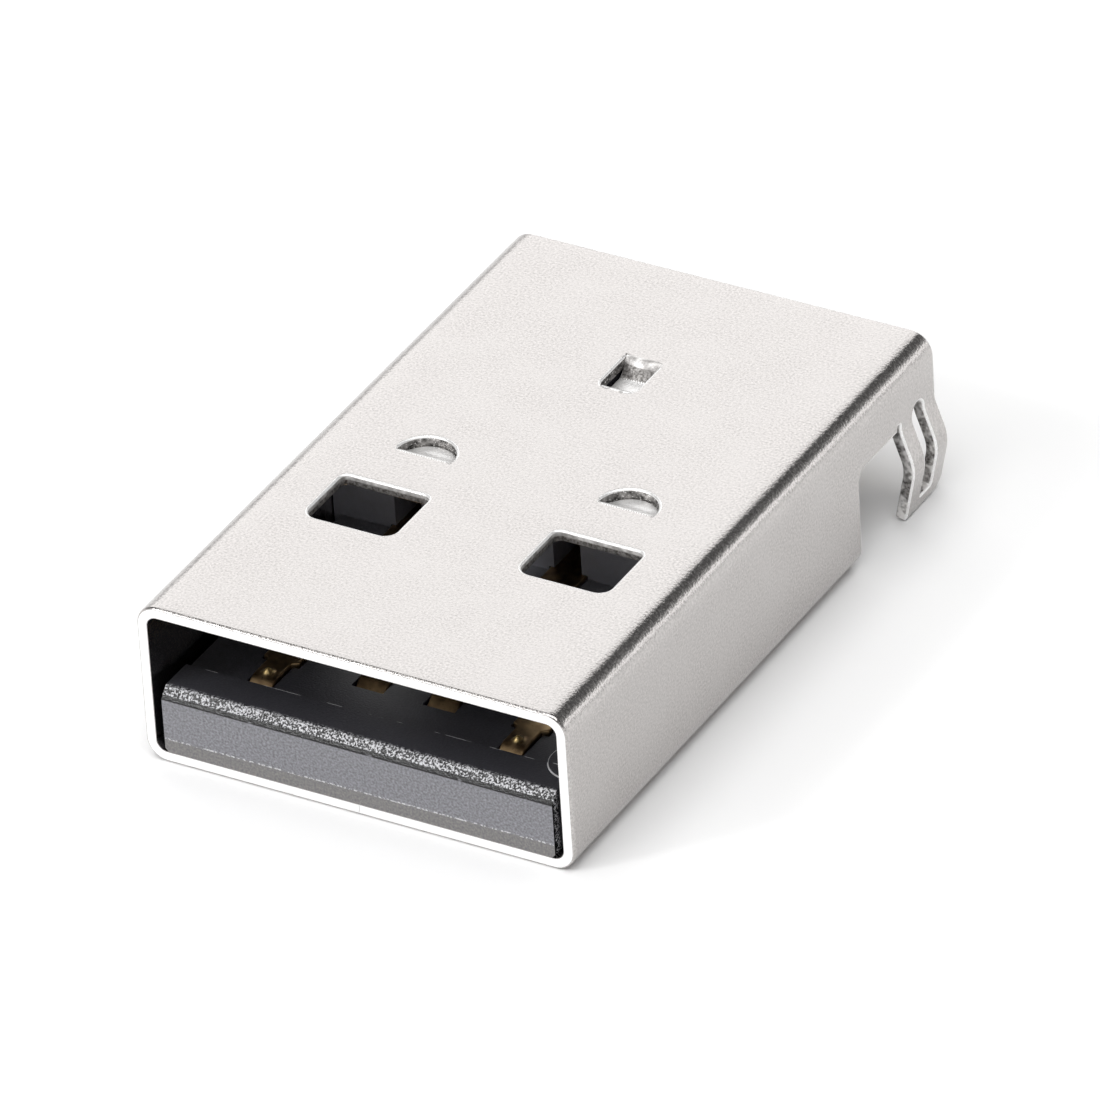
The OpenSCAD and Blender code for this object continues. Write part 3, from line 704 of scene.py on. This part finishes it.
mesh = bpy.data.meshes.new("floor")
corners = [(x * sweep["half"], y * sweep["half"], 0) for x, y in ((-1, -1), (1, -1), (1, 1), (-1, 1))]
mesh.from_pydata(corners, [], [(0, 1, 2, 3)])
floor = bpy.data.objects.new("floor", mesh)
bpy.context.collection.objects.link(floor)
material, tree = newMaterial("white sweep")
shader = addNode(tree, "BsdfPrincipled", {"Base Color": sweep["colour"], "Roughness": sweep["rough"]})
addNode(tree, "OutputMaterial", {"Surface": shader})
mesh.materials.append(material)
print("floor laid")


def lookFrom(azimuth, elevation, distance, aim, roll=0):
    # position = aim + distance * (sin a cos e, -cos a cos e, sin e)
    a, e = math.radians(azimuth), math.radians(elevation)
    back = Vector((math.sin(a) * math.cos(e), -math.cos(a) * math.cos(e), math.sin(e)))
    turn = back.to_track_quat("Z", "Y").to_matrix().to_4x4() @ Matrix.Rotation(math.radians(roll), 4, "Z")
    return Matrix.Translation(Vector(aim) + back * distance) @ turn


view = {  # degrees, metres; lens and sensor in mm
    "azimuth": 31.32, "elevation": 33.38, "roll": -3.71, "distance": 324.1 * mm,
    "aim": (0.289 * mm, -0.200 * mm, 2.249 * mm), "lens": 430.4, "sensor": 36, "near": 0.01, "far": 20,
}

camera = bpy.data.objects.new("camera", bpy.data.cameras.new("camera"))
bpy.context.collection.objects.link(camera)
placing = [view[key] for key in ("azimuth", "elevation", "distance", "aim", "roll")]
camera.matrix_world = lookFrom(*placing)
camera.data.lens, camera.data.sensor_width = view["lens"], view["sensor"]
camera.data.clip_start, camera.data.clip_end = view["near"], view["far"]
bpy.context.scene.camera = camera
print("camera set")

lights = {  # softboxes aimed at the plug: azimuth, elevation, distance, width, height in m, power in W
    "top": (20, 80, 1.2, 1.2, 1.2, 13),
    "backLeft": (211, 34, 1.0, 0.9, 0.55, 2.3),
    "backRight": (138, 14, 1.0, 0.5, 0.18, 0.3),
    "spark": (-41, 36, 1.0, 0.12, 0.12, 1.3),  # small and low, for the glint on the dimples
    "front": (-34, 32, 1.0, 0.6, 0.5, 2.0),
}

for name, (azimuth, elevation, distance, width, height, power) in lights.items():
    light = bpy.data.objects.new(name, bpy.data.lights.new(name, "AREA"))
    bpy.context.collection.objects.link(light)
    light.matrix_world = lookFrom(azimuth, elevation, distance, (0, 0, 0))
    light.data.shape, light.data.energy = "RECTANGLE", power
    light.data.size, light.data.size_y = width, height
print("lights placed:", len(lights))

# the room round the plug: pale low down, dim overhead
studio = {"low": 0.05, "high": 0.55, "bright": 1.0, "dim": 0.12, "colour": "#FFFFFF"}

world = bpy.data.worlds.new("studio")
bpy.context.scene.world = world
world.use_nodes = True
tree = world.node_tree
sky = addNode(tree, "SeparateXYZ", {0: addNode(tree, "TexCoord", {}, "Generated")}, "Z")
heights = {"From Min": studio["low"], "From Max": studio["high"]}
strengths = {"To Min": studio["bright"], "To Max": studio["dim"]}
glow = addNode(tree, "MapRange", {"Value": sky} | heights | strengths, "Result")
tree.links.new(glow, tree.nodes["Background"].inputs["Strength"])
tree.nodes["Background"].inputs["Color"].default_value = linear(studio["colour"])
bpy.context.scene.view_settings.view_transform = "Standard"
print("room lit")
